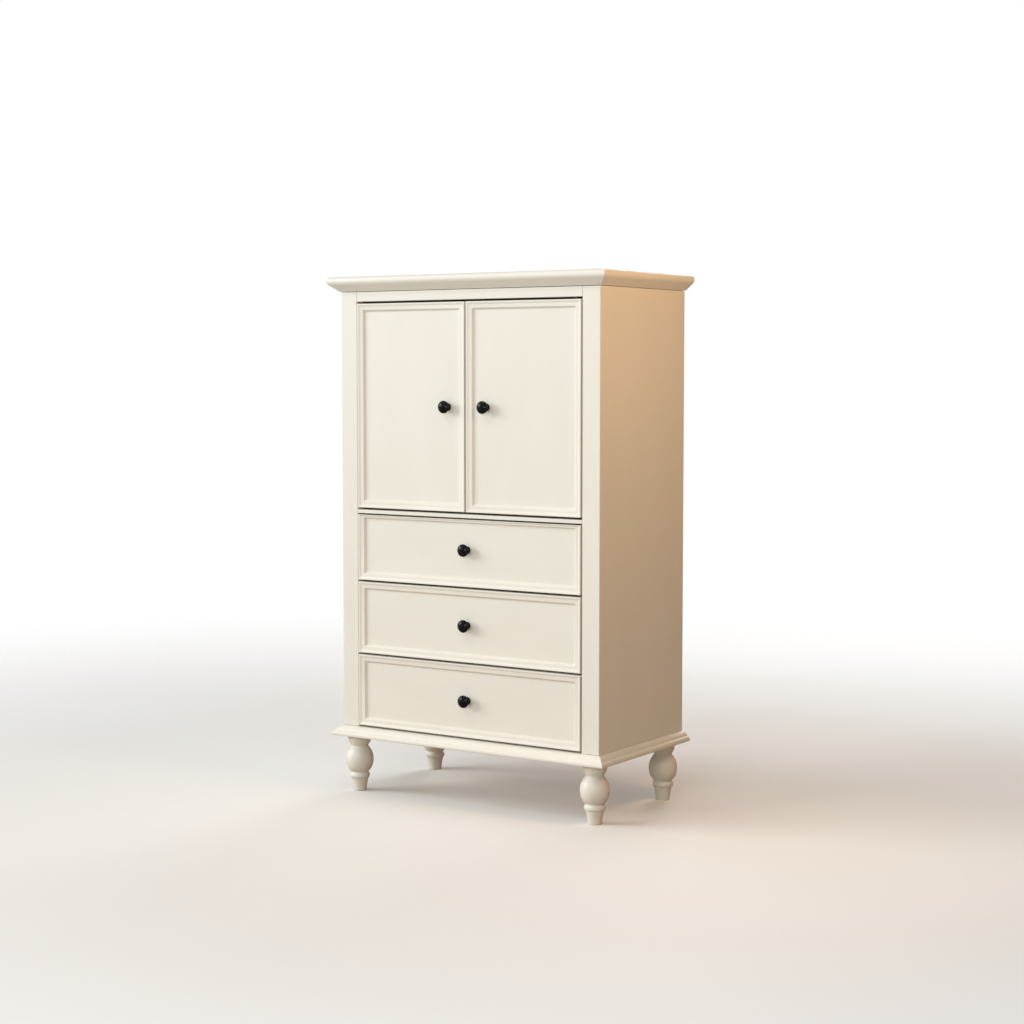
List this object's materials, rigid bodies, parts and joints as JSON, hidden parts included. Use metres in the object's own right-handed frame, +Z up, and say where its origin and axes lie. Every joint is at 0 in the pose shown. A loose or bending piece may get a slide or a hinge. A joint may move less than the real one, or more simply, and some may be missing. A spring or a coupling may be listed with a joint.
{
  "type": "apothecary cabinet",
  "caption": "Painted wooden apothecary cabinet with inset doors over drawers, moulded cornice and plinth, round knobs and turned legs.",
  "frame": {"origin": "on the floor, below the middle of the outer box", "axes": "+X to the right facing the cabinet's front, +Y toward its back, +Z up; doors and drawers face -Y"},
  "size_m": [0.643, 0.3416, 1.031],
  "materials": {
    "ivory_paint": "ivory paint, satin",
    "pine": "planed, clear sealed",
    "plywood": "sanded plywood",
    "black_knob": "black, satin",
    "brass": "aged, dull",
    "catch_plastic": "moulded"
  },
  "bodies": {
    "cabinet": {"top_board": "ivory_paint", "cornice_front": "ivory_paint", "cornice_left": "ivory_paint", "cornice_right": "ivory_paint", "side_panel_left": "ivory_paint", "side_panel_right": "ivory_paint", "stile_left": "ivory_paint", "stile_right": "ivory_paint", "top_rail": "ivory_paint", "divider_rail": "ivory_paint", "cupboard_floor": "ivory_paint", "cupboard_shelf": "ivory_paint", "shelf_batten_left": "ivory_paint", "shelf_batten_right": "ivory_paint", "base_board": "ivory_paint", "plinth_front": "ivory_paint", "plinth_left": "ivory_paint", "plinth_right": "ivory_paint", "leg_front_left": "ivory_paint", "leg_front_right": "ivory_paint", "leg_back_left": "ivory_paint", "leg_back_right": "ivory_paint", "back_panel": "plywood", "door_catch": "catch_plastic", "top_drawer_runner_left": "pine", "top_drawer_runner_right": "pine", "middle_drawer_runner_left": "pine", "middle_drawer_runner_right": "pine", "bottom_drawer_runner_left": "pine", "bottom_drawer_runner_right": "pine", "left_door_upper_case_leaf": "brass", "left_door_lower_case_leaf": "brass", "right_door_upper_case_leaf": "brass", "right_door_lower_case_leaf": "brass"},
    "left_door": {"left_door_front": "ivory_paint", "left_door_knob": "black_knob", "left_door_upper_door_leaf": "brass", "left_door_lower_door_leaf": "brass"},
    "right_door": {"right_door_front": "ivory_paint", "right_door_knob": "black_knob", "right_door_upper_door_leaf": "brass", "right_door_lower_door_leaf": "brass"},
    "top_drawer": {"top_drawer_front": "ivory_paint", "top_drawer_side_left": "pine", "top_drawer_side_right": "pine", "top_drawer_back": "pine", "top_drawer_bottom": "plywood", "top_drawer_knob": "black_knob"},
    "middle_drawer": {"middle_drawer_front": "ivory_paint", "middle_drawer_side_left": "pine", "middle_drawer_side_right": "pine", "middle_drawer_back": "pine", "middle_drawer_bottom": "plywood", "middle_drawer_knob": "black_knob"},
    "bottom_drawer": {"bottom_drawer_front": "ivory_paint", "bottom_drawer_side_left": "pine", "bottom_drawer_side_right": "pine", "bottom_drawer_back": "pine", "bottom_drawer_bottom": "plywood", "bottom_drawer_knob": "black_knob"}
  },
  "joints": [
    {"name": "left_door_pivot", "type": "hinge", "parent": "cabinet", "child": "left_door", "pos_m": [-0.2474, -0.14535, 0.777], "axis": [0, 0, -1], "range_deg": [0, 105]},
    {"name": "right_door_pivot", "type": "hinge", "parent": "cabinet", "child": "right_door", "pos_m": [0.2474, -0.14535, 0.777], "axis": [0, 0, 1], "range_deg": [0, 105]},
    {"name": "top_drawer_slide", "type": "slide", "parent": "cabinet", "child": "top_drawer", "axis": [0, -1, 0], "range_m": [0, 0.2]},
    {"name": "middle_drawer_slide", "type": "slide", "parent": "cabinet", "child": "middle_drawer", "axis": [0, -1, 0], "range_m": [0, 0.2]},
    {"name": "bottom_drawer_slide", "type": "slide", "parent": "cabinet", "child": "bottom_drawer", "axis": [0, -1, 0], "range_m": [0, 0.2]}
  ]
}
